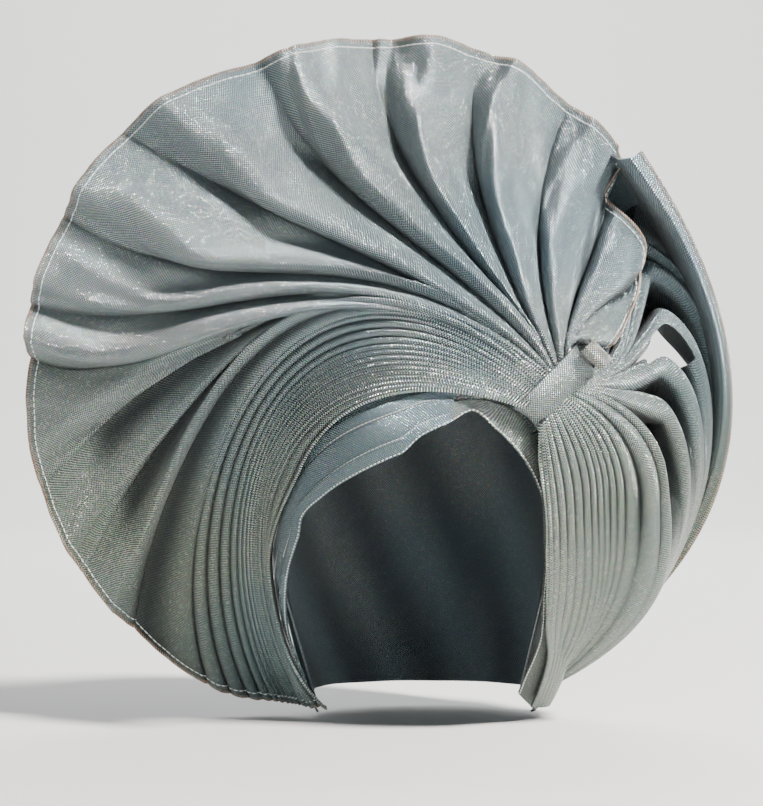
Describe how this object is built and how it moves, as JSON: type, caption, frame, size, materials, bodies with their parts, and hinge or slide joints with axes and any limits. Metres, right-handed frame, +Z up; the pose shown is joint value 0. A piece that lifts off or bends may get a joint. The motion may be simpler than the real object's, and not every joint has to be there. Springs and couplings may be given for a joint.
{
  "type": "tied gele head tie",
  "caption": "Pleated head tie of stiff silver-grey metallic cloth, tied ready to wear: a wide round fan, deep loops and a free end at one side, a knot at the brow and an open cap inside.",
  "frame": {"origin": "the point inside the cap where the crown of the head bears", "axes": "+Z up as worn, the face opening looks along -Y, and the wearer's left side, with the knot, is +X"},
  "size_m": [0.3649, 0.2018, 0.3546],
  "materials": {
    "cap_cloth": "plain woven lining, matt",
    "shaded_cloth": "stiff metallic weave, satin, blue-grey",
    "bright_cloth": "stiff metallic weave with a fine glitter, silver-grey"
  },
  "bodies": {
    "root": {"head_cap": "cap_cloth", "forehead_wrap": "shaded_cloth", "temple_wrap": "bright_cloth", "fan_cloth": "bright_cloth", "side_cloth": "bright_cloth", "tail": "bright_cloth", "knot_band": "bright_cloth", "knot_tab": "shaded_cloth"}
  },
  "joints": []
}
